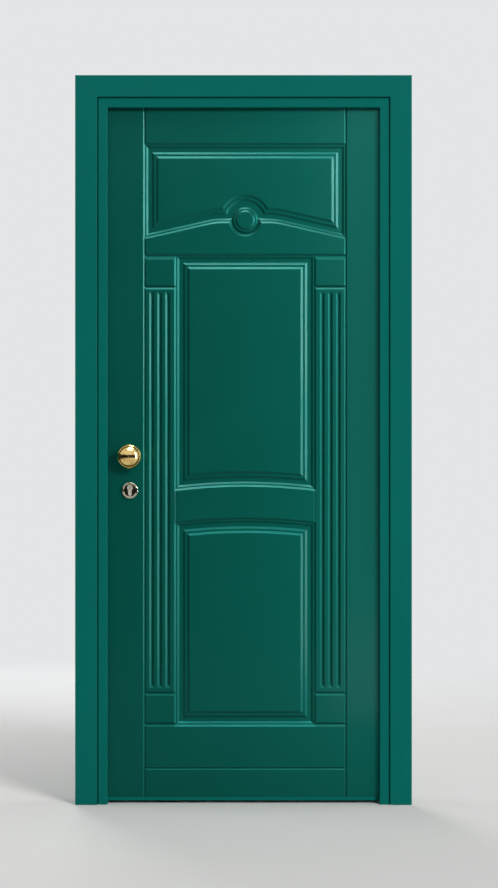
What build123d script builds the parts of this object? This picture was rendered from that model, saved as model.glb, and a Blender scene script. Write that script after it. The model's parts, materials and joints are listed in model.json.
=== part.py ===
from build123d import *
import os
from math import asin, cos, radians, sin, sqrt, tan

os.makedirs("parts", exist_ok=True)

# An armoured entrance door with its pressed steel frame, closed. It opens inward.
# X runs along the wall, Y from outside to inside, Z up from the floor.

# Clear opening of the frame, which is what shows of the leaf
clear_width = 820
clear_height = 2100

# Pressed frame section: widths outward from the opening, depths inward from the frame's face
frame_sheet = 2
frame_bend = 2.5
frame_band = 29
flange_width = 60
flange_return = 20
stop_depth = 18
inner_flange = 40
inner_return = 18
edge_gap = 4
fixing_radius = 5.5
fixing_height = 600
fixing_spacing = 900

# Flat casing boards, seated on the frame's outer flange
shadow_gap = 2
casing_width = 66
casing_thickness = 12
casing_seat = 6
casing_round = 3
relief_width = 22
relief_depth = 2

# Rubber seal on the stop
seal_width = 8
seal_inset = 3
seal_clearance = 0.3

# Leaf build-up from outside to inside
leaf_lap = 12
seal_gap = 5
floor_gap = 8
trim_sheet = 1.5
trim_bend = 1
outer_lip = 10.5
inner_lip = 26
panel_thickness = 16
shell_sheet = 1.5
shell_depth = 44.5
shell_flange = 30
inner_panel_thickness = 8
panel_clearance = 0.3

# Stiffeners and wool inside the shell
rib_count = 3
rib_width = 50
rib_foot = 20
rib_bend = 2
rib_end_gap = 4
wool_clearance = 1
wool_side_margin = 26

# Bottom sweep
sweep_width = 14
sweep_foot = 5
sweep_floor_gap = 1
sweep_base = 2.5

# Routed face: stiles, rails and panels, on a centre line of their own
design_shift = 4.7
stile_width = 105.8
groove_width = 8.7
groove_depth = 3
pilaster_width = 89.3
top_panel_lap = 4.5
top_rail = 103
gable_drop = 243
gable_flat_half = 74
gable_bend = 144
gable_angle = radians(12.8)
gable_rail = 92
middle_rail = 93
lower_top = 864
lower_bottom = 231
rail_rise = 13.5
foot_groove_height = 108.5
foot_groove_width = 7.5
foot_groove_depth = 2.6
rail_groove_inset = 4.7
rail_groove_width = 4
rail_groove_depth = 1.4

# Moulding round each field: two steps down, a flat, two steps up
step_depth = 4.5
outer_step = 6
outer_ledge = 3.6
channel_flat = 11
shoulder_step = 7.2
shoulder_ledge = 6

# Round boss under the arch of the top field
boss_rise = 10
boss_flat = 24
boss_step = 6
boss_ledge = 4
boss_ring = 10
arch_margin = 30.5

# Fluted pilasters with a block above and below
block_edge_steep = 4.5
block_edge_slope = 8
head_edge_slope = 12
capital_height = 95.5
plinth_step = 12.4
plinth_height = 93.6
flute_pitch = 24.3
flute_width = 14.7
flute_depth = 5.2
flute_valley = 0.6
flute_hip = 11
flute_low_gap = 11
flute_high_gap = 20.5

# Lock: places run inward from the leaf's lock edge, and up and down from the handle's axis
backset = 78.6
faceplate_thickness = 3
faceplate_width = 32
faceplate_margin = 15
plate_corner = 3
plate_clearance = 0.3
drill_plate_thickness = 3
lock_below = 199
lock_above = 91
lock_past = 23.4
lock_thickness = 28
lock_wall = 2
cover_thickness = 2
running_clearance = 0.3
bolt_radius = 9
bolt_pitch = 34
bolt_count = 4
bolt_drop = 103
bolt_sink = 0.5
bolt_length = 50
bolt_chamfer = 1.5
carriage_overlap = 4
carriage_length = 16
carriage_thickness = 10
carriage_margin = 12

# Latch and its follower
latch_rise = 36
latch_tall = 22
latch_thick = 16
latch_throw = 13
latch_bevel = 10
latch_head_length = 43
tail_tall = 14
tail_thick = 8
tail_past = 4.4
tab_lead = 1.7
tab_drop = 9
follower_radius = 13
journal_radius = 10
arm_tip_gap = 9
arm_width = 8
arm_angle = 17.5
spindle_side = 8
spindle_clearance = 0.1

# Locking rods and the lower side bolt
rod_radius = 5
rod_past = 17.4
rod_entry = 42
lower_rod_entry = 50
side_bolt_height = 300
deviator_below = 38
deviator_above = 46
rod_dip = 18
rod_strike_radius = 7.5

# Cylinder: profile of a standard lock cylinder
barrel_drop = 95
barrel_radius = 8.5
plug_radius = 6.5
plug_clearance = 0.05
stem_width = 10
profile_height = 33
profile_clearance = 0.4
cylinder_proud = 4
cam_width = 9.6
cam_side_gap = 0.2
cam_radius = 8.3
cam_reach = 14.8
cam_lever = 8
cam_clearance = 1
keyway_width = 2.4
keyway_height = 8.4
keyway_depth = 22
plug_proud = 0.6

# Outer cylinder guard, inner cylinder rose and thumb turn
guard_drop = 8
guard_radius = 24.5
guard_rim = 3.5
guard_reach = 9
guard_recess = 5
guard_round = 2.4
inner_rose_radius = 26
inner_rose_thickness = 8
rose_round = 2.5
turn_boss_radius = 10
turn_boss_length = 5
turn_length = 30
turn_reach = 18
turn_thickness = 9
turn_round = 3

# Fixed outer knob, its profile in shares of its radius and of its rise over the rose
knob_height = 1049
knob_reach = 66
knob_radius = 36.5
knob_neck = 13
neck_share = 0.30
flare_shares = (0.62, 0.40)
brim_shares = (0.99, 0.52)
rim_shares = (1.0, 0.62)
rim_top_shares = (0.88, 0.75)
bead_shares = (0.83, 0.73)
rose_radius = 31
rose_thickness = 8
rose_lip = 2.5
stud_radius = 5
stud_head_radius = 9
stud_head = 5
stud_depth = 26
stud_clearance = 0.2

# Inner lever handle
handle_reach = 58
handle_rose_radius = 26
handle_rose_thickness = 9
handle_neck = 9.5
lever_tall = 20
lever_thick = 11
lever_straight = 42
lever_bend = 230
lever_angle = 19
lever_round = 2.5
spindle_reach = 32

# Hinges
hinge_low = 300
hinge_drop = 300
hinge_stand = 12
hinge_barrel = 10
hinge_half_height = 60
hinge_plate = 4
hinge_leaf_plate = 25.5
hinge_frame_plate = 38
hinge_web = 7.5
hinge_pin_radius = 5
hinge_pin_sink = 6
hinge_pin_chamfer = 0.5
hinge_clearance = 0.05
washer_thickness = 2
washer_overhang = 0.5
hinge_screw_spread = 17
hinge_screw_leaf = 18
hinge_screw_frame = 21

# Fixed dog bolts on the hinge edge
dog_count = 4
dog_pitch = 326
dog_radius = 7
dog_collar_radius = 9
dog_collar = 2
dog_reach = 13
dog_shank_radius = 5
dog_shank = 16
dog_chamfer = 2
dog_hole_radius = 10.5

# Strikes in the lock jamb
strike_thickness = 2
strike_width = 36
strike_margin = 26
strike_bolt_radius = 11
strike_latch_room = 3
lower_strike_half = 42

# Countersunk screws
screw_radius = 2
screw_head_radius = 4
screw_head = 2
screw_length = 9
hinge_screw_radius = 3
hinge_screw_head_radius = 5.6
hinge_screw_head = 3
hinge_screw_length = 18
frame_screw_length = 9
screw_clearance = 0.15
slot_width = 1
slot_depth = 0.8
screw_inset = 8

# One overrun serves every cut
overrun = 30

# Depths from the frame's face, worked out from the build-up
half_clear = clear_width / 2
leaf_half = half_clear + leaf_lap
leaf_top = clear_height + leaf_lap
leaf_bottom = floor_gap
leaf_front = stop_depth + seal_gap
panel_front = leaf_front + trim_sheet
shell_front = panel_front + panel_thickness
core_front = shell_front + shell_sheet
shell_back = shell_front + shell_depth
core_back = shell_back - shell_sheet
inner_panel_back = shell_back + inner_panel_thickness
leaf_back = inner_panel_back + trim_sheet
frame_depth = leaf_back
rebate_width = leaf_lap + edge_gap
casing_inner = frame_band + shadow_gap
casing_outer = casing_inner + casing_width
face_y = -(panel_front - knob_reach + leaf_back + handle_reach) / 2

# Places of the lock and its axes
lock_edge = -leaf_half
lock_x = lock_edge + backset
rod_x = lock_x + rod_past
lock_length = backset + lock_past
lock_low = knob_height - lock_below
lock_high = knob_height + lock_above
faceplate_low = lock_low - faceplate_margin
faceplate_high = lock_high + faceplate_margin
latch_height = knob_height + latch_rise
arm_reach = latch_rise - arm_tip_gap
tail_back = backset + tail_past
tab_front = backset - tab_lead
barrel_height = knob_height - barrel_drop
guard_height = barrel_height - guard_drop
bolt_middle = knob_height - bolt_drop
deviator_low = side_bolt_height - deviator_below
deviator_high = side_bolt_height + deviator_above
case_front_x = lock_edge + faceplate_thickness
case_front = core_front + drill_plate_thickness
case_back = case_front + lock_thickness
bolt_depth = case_front + lock_thickness / 2
bolt_y = face_y + bolt_depth
bolt_heights = [bolt_middle + bolt_pitch * (i - (bolt_count - 1) / 2) for i in range(bolt_count)]
hinge_heights = (hinge_low, clear_height - hinge_drop)
dog_middle = sum(hinge_heights) / 2
dog_heights = [dog_middle + dog_pitch * (i - (dog_count - 1) / 2) for i in range(dog_count)]
hinge_x = half_clear + (leaf_lap + rebate_width) / 2
hinge_y = face_y + leaf_back + hinge_stand

# Places of the routed design
groove_half_spacing = half_clear - stile_width
panel_half = groove_half_spacing - pilaster_width
top_panel_half = groove_half_spacing + top_panel_lap
rail_groove_half = panel_half - rail_groove_inset
top_panel_top = clear_height - top_rail
gable_height = top_panel_top - gable_drop
boss_height = gable_height + boss_rise
middle_top = gable_height - gable_rail
middle_bottom = lower_top + middle_rail
capital_foot = middle_top - capital_height
plinth_foot = lower_bottom + plinth_step
plinth_top = plinth_foot + plinth_height
flute_low = plinth_top + flute_low_gap
flute_high = capital_foot - flute_high_gap

# Planes for the sections of the frame and the leaf's edges: local x runs outward, local y is depth
lock_plane = Plane(origin=(-half_clear, face_y, 0), x_dir=(-1, 0, 0), z_dir=(0, 0, -1))
hinge_plane = Plane(origin=(half_clear, face_y, 0), x_dir=(1, 0, 0), z_dir=(0, 0, 1))
head_plane = Plane(origin=(0, face_y, clear_height), x_dir=(0, 0, 1), z_dir=(-1, 0, 0))
foot_plane = Plane(origin=(0, face_y, leaf_bottom + leaf_lap), x_dir=(0, 0, -1), z_dir=(1, 0, 0))

# Mitres at the corners: each plane looks towards the upright piece
lock_mitre = Plane(origin=(-half_clear, 0, clear_height), z_dir=(-1, 0, -1))
hinge_mitre = Plane(origin=(half_clear, 0, clear_height), z_dir=(1, 0, -1))
lock_foot_mitre = Plane(origin=(-leaf_half, 0, leaf_bottom), z_dir=(-1, 0, 1))
hinge_foot_mitre = Plane(origin=(leaf_half, 0, leaf_bottom), z_dir=(1, 0, 1))
run_height = clear_height + casing_outer + overrun
run_half = half_clear + casing_outer + overrun


def level(depth):
    """An upright plane at a depth from the frame's face: local x is X, local y is Z, normal outward."""
    return Plane.XZ.offset(-(face_y + depth))


def turned(x, z, depth):
    """A level plane for profiles turned about Y: local x is the radius, local y runs inward."""
    return Plane(origin=(x, face_y + depth, z), x_dir=(1, 0, 0), z_dir=(0, 0, 1))


def turn_axis(x, z):
    """The axis of such a turned piece."""
    return Axis((x, 0, z), (0, 1, 0))


def finish(piece, name):
    """Name a finished piece and write it."""
    piece.part.label = name
    export_step(piece.part, f"parts/{name}.step")


# Runs of one section along the sides of the opening, mitred at the corners
def lock_run(section):
    with BuildPart() as run:
        extrude(section(lock_plane), amount=-run_height)
        split(bisect_by=lock_mitre, keep=Keep.TOP)
    return run.part


def hinge_run(section):
    with BuildPart() as run:
        extrude(section(hinge_plane), amount=run_height)
        split(bisect_by=hinge_mitre, keep=Keep.TOP)
    return run.part


def head_run(section):
    with BuildPart() as run:
        extrude(section(head_plane), amount=run_half, both=True)
        split(bisect_by=lock_mitre, keep=Keep.BOTTOM)
        split(bisect_by=hinge_mitre, keep=Keep.BOTTOM)
    return run.part


def foot_run(section):
    with BuildPart() as run:
        extrude(section(foot_plane), amount=run_half, both=True)
        split(bisect_by=lock_foot_mitre, keep=Keep.BOTTOM)
        split(bisect_by=hinge_foot_mitre, keep=Keep.BOTTOM)
    return run.part


def steel_section(plane):
    """The folded sheet, by its middle line: outer flange, face, stop, rebate wall and inner flange."""
    half = frame_sheet / 2
    outer_end = flange_width - half
    seat = casing_seat + half
    band = frame_band - half
    stop = stop_depth - half
    wall = rebate_width + half
    back = frame_depth - half
    inner_end = rebate_width + inner_flange - half
    with BuildSketch(plane) as section:
        with BuildLine():
            FilletPolyline(
                (outer_end, seat + flange_return),
                (outer_end, seat),
                (band, seat),
                (band, half),
                (half, half),
                (half, stop),
                (wall, stop),
                (wall, back),
                (inner_end, back),
                (inner_end, back - inner_return),
                radius=frame_bend,
            )
        trace(line_width=frame_sheet)
    return section.sketch


def casing_section(plane):
    """A flat board with eased front edges and a shallow relief in its back."""
    middle = (casing_inner + casing_outer) / 2
    relief_middle = (flange_width + casing_outer) / 2
    with BuildSketch(plane) as section:
        with Locations((middle, casing_seat - casing_thickness / 2)):
            Rectangle(casing_width, casing_thickness)
        fillet(section.vertices().group_by(Axis.Y)[0], radius=casing_round)
        with Locations((relief_middle, casing_seat)):
            Rectangle(relief_width, 2 * relief_depth, mode=Mode.SUBTRACT)
    return section.sketch


def seal_section(plane):
    """A hollow-backed D of rubber that stands on the stop and stops just short of the leaf."""
    reach = seal_gap - seal_clearance
    outer = seal_inset + seal_width
    foot = stop_depth + reach / 2
    with BuildSketch(plane) as section:
        with BuildLine():
            crown = (seal_inset + seal_width / 2, stop_depth + reach)
            Polyline((seal_inset, foot), (seal_inset, stop_depth), (outer, stop_depth), (outer, foot))
            ThreePointArc((outer, foot), crown, (seal_inset, foot))
        make_face()
    return section.sketch


def trim_section(plane):
    """The folded edge, by its middle line, that clasps the outer panel, the shell and the inner panel."""
    half = trim_sheet / 2
    edge = leaf_lap - half
    with BuildSketch(plane) as section:
        with BuildLine():
            FilletPolyline(
                (leaf_lap - inner_lip, leaf_back - half),
                (edge, leaf_back - half),
                (edge, leaf_front + half),
                (leaf_lap - outer_lip, leaf_front + half),
                radius=trim_bend,
            )
        trace(line_width=trim_sheet)
    return section.sketch


def cylinder_profile(plane, clearance):
    """The outline of the lock cylinder: a round barrel over a narrow stem with a round end."""
    stem_end = barrel_height + barrel_radius - profile_height + stem_width / 2
    with BuildSketch(plane) as profile:
        with Locations((lock_x, barrel_height)):
            Circle(barrel_radius + clearance)
        with Locations((lock_x, (barrel_height + stem_end) / 2)):
            Rectangle(stem_width + 2 * clearance, barrel_height - stem_end)
        with Locations((lock_x, stem_end)):
            Circle(stem_width / 2 + clearance)
    return profile.sketch


def countersunk_screw(plane, radius, head_radius, head, length):
    """A slotted countersunk screw, its head flush with the plane and its shank against the normal."""
    with BuildPart() as screw:
        with BuildSketch(plane):
            Circle(head_radius)
        with BuildSketch(plane.offset(-head)):
            Circle(radius)
        loft()
        with BuildSketch(plane):
            Circle(radius)
        extrude(amount=-length)
        with BuildSketch(plane):
            Rectangle(2 * head_radius, slot_width)
        extrude(amount=-slot_depth, mode=Mode.SUBTRACT)
    return screw.part


# Screw places, shared by the screws and every hole they pass
strike_y = bolt_y
face_screw_heights = (faceplate_low + screw_inset, faceplate_high - screw_inset)
strike_low = min(bolt_heights) - strike_margin
strike_high = latch_height + strike_margin
strike_screw_heights = (
    strike_low + screw_inset,
    strike_high - screw_inset,
    side_bolt_height - lower_strike_half + screw_inset,
    side_bolt_height + lower_strike_half - screw_inset,
)
screw_hole = screw_radius + screw_clearance
hinge_screw_hole = hinge_screw_radius + screw_clearance
leaf_knuckles = [z + hinge_half_height / 2 + washer_thickness / 2 for z in hinge_heights]
frame_knuckles = [z - hinge_half_height / 2 - washer_thickness / 2 for z in hinge_heights]
leaf_screws = [
    (hinge_x - hinge_screw_leaf, z + s * hinge_screw_spread) for z in leaf_knuckles for s in (-1, 1)
]
frame_screws = [
    (hinge_x + hinge_screw_frame, z + s * hinge_screw_spread) for z in frame_knuckles for s in (-1, 1)
]

# Frame
rebate_x = half_clear + rebate_width
latch_slot = (latch_thick + 2 * strike_latch_room, latch_tall + 2 * strike_latch_room)

with BuildPart() as lock_jamb:
    add(lock_run(steel_section))
    with BuildSketch(Plane.YZ.offset(-rebate_x + overrun / 2)):
        with Locations(*[(bolt_y, z) for z in (*bolt_heights, side_bolt_height)]):
            Circle(strike_bolt_radius)
        with Locations((bolt_y, latch_height)):
            Rectangle(*latch_slot)
        with Locations(*[(strike_y, z) for z in strike_screw_heights]):
            Circle(screw_hole)
        with Locations((bolt_y, fixing_height), (bolt_y, fixing_height + fixing_spacing)):
            Circle(fixing_radius)
    extrude(amount=-overrun, mode=Mode.SUBTRACT)
finish(lock_jamb, "lock_jamb")

with BuildPart() as hinge_jamb:
    add(hinge_run(steel_section))
    with BuildSketch(Plane.YZ.offset(rebate_x - overrun / 2)):
        with Locations(*[(bolt_y, z) for z in dog_heights]):
            Circle(dog_hole_radius)
        with Locations((bolt_y, fixing_height), (bolt_y, fixing_height + fixing_spacing)):
            Circle(fixing_radius)
    extrude(amount=overrun, mode=Mode.SUBTRACT)
    with BuildSketch(level(frame_depth)):
        with Locations(*frame_screws):
            Circle(hinge_screw_hole)
    extrude(amount=2 * frame_sheet, mode=Mode.SUBTRACT)
finish(hinge_jamb, "hinge_jamb")

with BuildPart() as head_jamb:
    add(head_run(steel_section))
    with BuildSketch(Plane.XY.offset(leaf_top)):
        with Locations((rod_x, bolt_y)):
            Circle(rod_strike_radius)
    extrude(amount=overrun, mode=Mode.SUBTRACT)
finish(head_jamb, "head_jamb")

with BuildPart() as lock_casing:
    add(lock_run(casing_section))
finish(lock_casing, "lock_side_casing")

with BuildPart() as hinge_casing:
    add(hinge_run(casing_section))
finish(hinge_casing, "hinge_side_casing")

with BuildPart() as head_casing:
    add(head_run(casing_section))
finish(head_casing, "head_casing")

with BuildPart() as frame_seal:
    add(lock_run(seal_section))
    add(hinge_run(seal_section))
    add(head_run(seal_section))
finish(frame_seal, "frame_seal")

with BuildPart() as strike_plate:
    with BuildSketch(Plane.YZ.offset(-rebate_x)):
        with Locations((strike_y, (strike_low + strike_high) / 2)):
            RectangleRounded(strike_width, strike_high - strike_low, plate_corner)
        with Locations(*[(bolt_y, z) for z in bolt_heights]):
            Circle(strike_bolt_radius, mode=Mode.SUBTRACT)
        with Locations((bolt_y, latch_height)):
            Rectangle(*latch_slot, mode=Mode.SUBTRACT)
    extrude(amount=strike_thickness)
    with Locations(Plane.YZ.offset(-rebate_x + strike_thickness)):
        with Locations(*[(strike_y, z) for z in strike_screw_heights[:2]]):
            CounterSinkHole(screw_hole, screw_head_radius + screw_clearance)
finish(strike_plate, "strike_plate")

with BuildPart() as lower_strike:
    with BuildSketch(Plane.YZ.offset(-rebate_x)):
        with Locations((strike_y, side_bolt_height)):
            RectangleRounded(strike_width, 2 * lower_strike_half, plate_corner)
            Circle(strike_bolt_radius, mode=Mode.SUBTRACT)
    extrude(amount=strike_thickness)
    with Locations(Plane.YZ.offset(-rebate_x + strike_thickness)):
        with Locations(*[(strike_y, z) for z in strike_screw_heights[2:]]):
            CounterSinkHole(screw_hole, screw_head_radius + screw_clearance)
finish(lower_strike, "lower_strike_plate")

with BuildPart() as strike_screws:
    for z in strike_screw_heights:
        seat = Plane(origin=(-rebate_x + strike_thickness, strike_y, z), x_dir=(0, 1, 0), z_dir=(1, 0, 0))
        add(countersunk_screw(seat, screw_radius, screw_head_radius, screw_head, screw_length))
finish(strike_screws, "strike_screws")

# Hinges: the lower knuckle is on the frame, the upper one on the leaf
def hinge_half(name, height, side, plate_width, screws):
    """One knuckle with its plate: side is -1 for the leaf's half and 1 for the frame's."""
    low = height - hinge_half_height / 2
    with BuildPart() as half:
        with BuildSketch(Plane(origin=(hinge_x, face_y, low), x_dir=(1, 0, 0), z_dir=(0, 0, 1))):
            with Locations((0, leaf_back + hinge_stand)):
                Circle(hinge_barrel)
            gap = hinge_barrel - hinge_web
            with Locations((side * (gap + hinge_web / 2), leaf_back + hinge_stand / 2)):
                Rectangle(hinge_web, hinge_stand)
            with Locations((side * (gap + plate_width / 2), leaf_back + hinge_plate / 2)):
                Rectangle(plate_width, hinge_plate)
            with Locations((0, leaf_back + hinge_stand)):
                Circle(hinge_pin_radius + hinge_clearance, mode=Mode.SUBTRACT)
        extrude(amount=hinge_half_height)
        inside = Plane(origin=(0, face_y + leaf_back + hinge_plate, 0), x_dir=(-1, 0, 0), z_dir=(0, 1, 0))
        with Locations(inside):
            with Locations(*[(-x, z) for x, z in screws]):
                CounterSinkHole(hinge_screw_hole, hinge_screw_head_radius + screw_clearance)
    finish(half, name)


for place, height in zip(("lower", "upper"), hinge_heights):
    index = hinge_heights.index(height)
    own = slice(2 * index, 2 * index + 2)
    leaf_half_args = (leaf_knuckles[index], -1, hinge_leaf_plate, leaf_screws[own])
    frame_half_args = (frame_knuckles[index], 1, hinge_frame_plate, frame_screws[own])
    hinge_half(f"{place}_hinge_leaf_half", *leaf_half_args)
    hinge_half(f"{place}_hinge_frame_half", *frame_half_args)
    with BuildPart() as hinge_pin:
        pin_low = height - hinge_half_height + hinge_pin_sink
        with BuildSketch(Plane(origin=(hinge_x, hinge_y, pin_low))):
            Circle(hinge_pin_radius)
        extrude(amount=2 * (hinge_half_height - hinge_pin_sink))
        chamfer(hinge_pin.edges().filter_by(GeomType.CIRCLE), length=hinge_pin_chamfer)
    finish(hinge_pin, f"{place}_hinge_pin")
    with BuildPart() as washer:
        with BuildSketch(Plane(origin=(hinge_x, hinge_y, height - washer_thickness / 2))):
            Circle(hinge_barrel + washer_overhang)
            Circle(hinge_pin_radius + hinge_clearance, mode=Mode.SUBTRACT)
        extrude(amount=washer_thickness)
    finish(washer, f"{place}_hinge_washer")


def hinge_screw_group(name, places, length):
    """Screws into an inner face, as one group."""
    with BuildPart() as group:
        for x, z in places:
            origin = (x, face_y + leaf_back + hinge_plate, z)
            seat = Plane(origin=origin, x_dir=(-1, 0, 0), z_dir=(0, 1, 0))
            head = (hinge_screw_radius, hinge_screw_head_radius, hinge_screw_head)
            add(countersunk_screw(seat, *head, length))
    finish(group, name)


hinge_screw_group("hinge_leaf_screws", leaf_screws, hinge_screw_length)
hinge_screw_group("hinge_frame_screws", frame_screws, frame_screw_length)

# Leaf shell: a folded tray with return flanges, open towards the room
shell_half = leaf_half - trim_sheet
shell_low = leaf_bottom + trim_sheet
shell_high = leaf_top - trim_sheet
shell_middle = (shell_low + shell_high) / 2
shell_height = shell_high - shell_low
plate_middle = (faceplate_low + faceplate_high) / 2
plate_height = faceplate_high - faceplate_low
plate_cut = (faceplate_width + 2 * plate_clearance, plate_height + 2 * plate_clearance)

with BuildPart() as leaf_shell:
    with BuildSketch(level(shell_back)):
        with Locations((0, shell_middle)):
            Rectangle(2 * shell_half, shell_height)
    extrude(amount=shell_depth)
    with BuildSketch(level(core_back)):
        with Locations((0, shell_middle)):
            Rectangle(2 * (shell_half - shell_sheet), shell_height - 2 * shell_sheet)
    extrude(amount=core_back - core_front, mode=Mode.SUBTRACT)
    with BuildSketch(level(shell_back)):
        with Locations((0, shell_middle)):
            Rectangle(2 * (shell_half - shell_flange), shell_height - 2 * shell_flange)
    extrude(amount=shell_sheet, mode=Mode.SUBTRACT)
    with BuildSketch(Plane.YZ.offset(lock_edge)):
        with Locations((bolt_y, plate_middle)):
            Rectangle(*plate_cut)
        with Locations((bolt_y, side_bolt_height)):
            Circle(bolt_radius + running_clearance)
    extrude(amount=2 * faceplate_thickness, mode=Mode.SUBTRACT)
    with BuildSketch(Plane.YZ.offset(leaf_half)):
        with Locations(*[(bolt_y, z) for z in dog_heights]):
            Circle(dog_shank_radius + screw_clearance)
    extrude(amount=-2 * faceplate_thickness, mode=Mode.SUBTRACT)
    with BuildSketch(Plane.XY.offset(leaf_top)):
        with Locations((rod_x, bolt_y)):
            Circle(rod_radius + running_clearance)
    extrude(amount=-2 * faceplate_thickness, mode=Mode.SUBTRACT)
    with BuildSketch(level(shell_back)):
        with Locations(*leaf_screws):
            Circle(hinge_screw_hole)
    extrude(amount=shell_sheet, mode=Mode.SUBTRACT)
    hole = cylinder_profile(level(core_front), profile_clearance)
    extrude(hole, amount=shell_sheet, mode=Mode.SUBTRACT)
finish(leaf_shell, "leaf_shell")

rib_low = shell_low + shell_flange + rib_end_gap
rib_height = shell_height - 2 * (shell_flange + rib_end_gap)
core_low = rod_x + wool_side_margin
core_high = leaf_half - wool_side_margin
rib_spacing = (core_high - core_low) / (rib_count + 1)
rib_places = [core_low + rib_spacing * (i + 1) for i in range(rib_count)]
rib_wall = (rib_width - shell_sheet) / 2
rib_half = rib_width / 2 + rib_foot
rib_front = core_front + shell_sheet / 2
rib_back = shell_back - shell_sheet / 2

with BuildPart() as ribs:
    for x in rib_places:
        with BuildSketch(Plane(origin=(x, face_y, rib_low), x_dir=(1, 0, 0), z_dir=(0, 0, 1))):
            with BuildLine():
                FilletPolyline(
                    (rib_half, rib_front),
                    (rib_wall, rib_front),
                    (rib_wall, rib_back),
                    (-rib_wall, rib_back),
                    (-rib_wall, rib_front),
                    (-rib_half, rib_front),
                    radius=rib_bend,
                )
            trace(line_width=shell_sheet)
        extrude(amount=rib_height)
finish(ribs, "stiffener_ribs")

wool_height = shell_height - 2 * (shell_sheet + rib_end_gap)
wool_bounds = [
    core_low,
    *[x + s * (rib_half + wool_clearance) for x in rib_places for s in (-1, 1)],
    core_high,
]
with BuildPart() as wool:
    for low, high in zip(wool_bounds[::2], wool_bounds[1::2]):
        with BuildSketch(level(core_back)):
            with Locations(((low + high) / 2, shell_middle)):
                Rectangle(high - low, wool_height)
        extrude(amount=core_back - core_front)
finish(wool, "insulation_slabs")

# Edge trims
with BuildPart() as lock_trim:
    add(lock_run(trim_section))
    split(bisect_by=lock_foot_mitre, keep=Keep.TOP)
    with BuildSketch(Plane.YZ.offset(lock_edge)):
        with Locations((bolt_y, plate_middle)):
            Rectangle(*plate_cut)
        with Locations((bolt_y, side_bolt_height)):
            Circle(bolt_radius + running_clearance)
    extrude(amount=2 * trim_sheet, mode=Mode.SUBTRACT)
finish(lock_trim, "lock_edge_trim")

with BuildPart() as hinge_trim:
    add(hinge_run(trim_section))
    split(bisect_by=hinge_foot_mitre, keep=Keep.TOP)
    with BuildSketch(Plane.YZ.offset(leaf_half)):
        with Locations(*[(bolt_y, z) for z in dog_heights]):
            Circle(dog_shank_radius + screw_clearance)
    extrude(amount=-2 * trim_sheet, mode=Mode.SUBTRACT)
    with BuildSketch(level(leaf_back)):
        with Locations(*leaf_screws):
            Circle(hinge_screw_hole)
    extrude(amount=2 * trim_sheet, mode=Mode.SUBTRACT)
finish(hinge_trim, "hinge_edge_trim")

with BuildPart() as top_trim:
    add(head_run(trim_section))
    with BuildSketch(Plane.XY.offset(leaf_top)):
        with Locations((rod_x, bolt_y)):
            Circle(rod_radius + running_clearance)
    extrude(amount=-2 * trim_sheet, mode=Mode.SUBTRACT)
finish(top_trim, "top_edge_trim")

with BuildPart() as bottom_trim:
    add(foot_run(trim_section))
finish(bottom_trim, "bottom_edge_trim")

with BuildPart() as bottom_sweep:
    sweep_y = face_y + (leaf_front + leaf_back) / 2
    sweep_end = leaf_half - trim_bend
    with BuildSketch(Plane(origin=(-sweep_end, sweep_y, leaf_bottom), x_dir=(0, 1, 0), z_dir=(1, 0, 0))):
        with BuildLine():
            Polyline(
                (-sweep_width / 2, 0),
                (-sweep_width / 2, -sweep_base),
                (-sweep_foot / 2, sweep_floor_gap - leaf_bottom),
                (sweep_foot / 2, sweep_floor_gap - leaf_bottom),
                (sweep_width / 2, -sweep_base),
                (sweep_width / 2, 0),
                close=True,
            )
        make_face()
    extrude(amount=2 * sweep_end)
finish(bottom_sweep, "bottom_sweep")

# Outer panel: a flat board with the whole design routed into its face
board_half = shell_half - panel_clearance
board_height = shell_height - 2 * panel_clearance
board_foot = face_y + panel_front
rail_radius = (panel_half**2 + rail_rise**2) / (2 * rail_rise)
channel_depth = 2 * step_depth
ledge_inset = outer_step + outer_ledge
channel_inset = ledge_inset + outer_step
shoulder_inset = channel_inset + channel_flat
shoulder_ledge_inset = shoulder_inset + shoulder_step
shoulder_top_inset = shoulder_ledge_inset + shoulder_ledge
field_inset = shoulder_top_inset + shoulder_step
outer_steps = (
    ((0, 0), (outer_step, step_depth)),
    ((ledge_inset, step_depth), (channel_inset, channel_depth)),
)
shoulder_steps = (
    ((shoulder_inset, channel_depth), (shoulder_ledge_inset, step_depth)),
    ((shoulder_top_inset, step_depth), (field_inset, 0)),
)


def routed(depth):
    """An upright plane at a depth below the outer panel's face, on the design's own centre line."""
    return Plane(origin=(design_shift, board_foot + depth, 0), x_dir=(1, 0, 0), z_dir=(0, -1, 0))


def arch_foot(crown, radius, half):
    """Height of an arch's ends, from its crown, radius and half width."""
    return crown - radius + sqrt(radius**2 - half**2)


def middle_outline(inset):
    """Middle panel, set in from its edge: straight above, arched below."""
    half = panel_half - inset
    crown = middle_bottom + inset
    foot = arch_foot(crown, rail_radius + inset, half)
    top = middle_top - inset
    Polyline((-half, foot), (-half, top), (half, top), (half, foot))
    ThreePointArc((half, foot), (0, crown), (-half, foot))


def lower_outline(inset):
    """Lower panel, set in from its edge: arched above, straight below."""
    half = panel_half - inset
    crown = lower_top - inset
    foot = arch_foot(crown, rail_radius - inset, half)
    bottom = lower_bottom + inset
    Polyline((half, foot), (half, bottom), (-half, bottom), (-half, foot))
    ThreePointArc((-half, foot), (0, crown), (half, foot))


def gable_bends(inset, share):
    """A point on the bend between the gable's slope and its flat, at a share of the turn."""
    radius = gable_bend + inset
    angle = gable_angle * share
    return gable_flat_half + radius * sin(angle), gable_height - gable_bend + radius * cos(angle)


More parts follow.
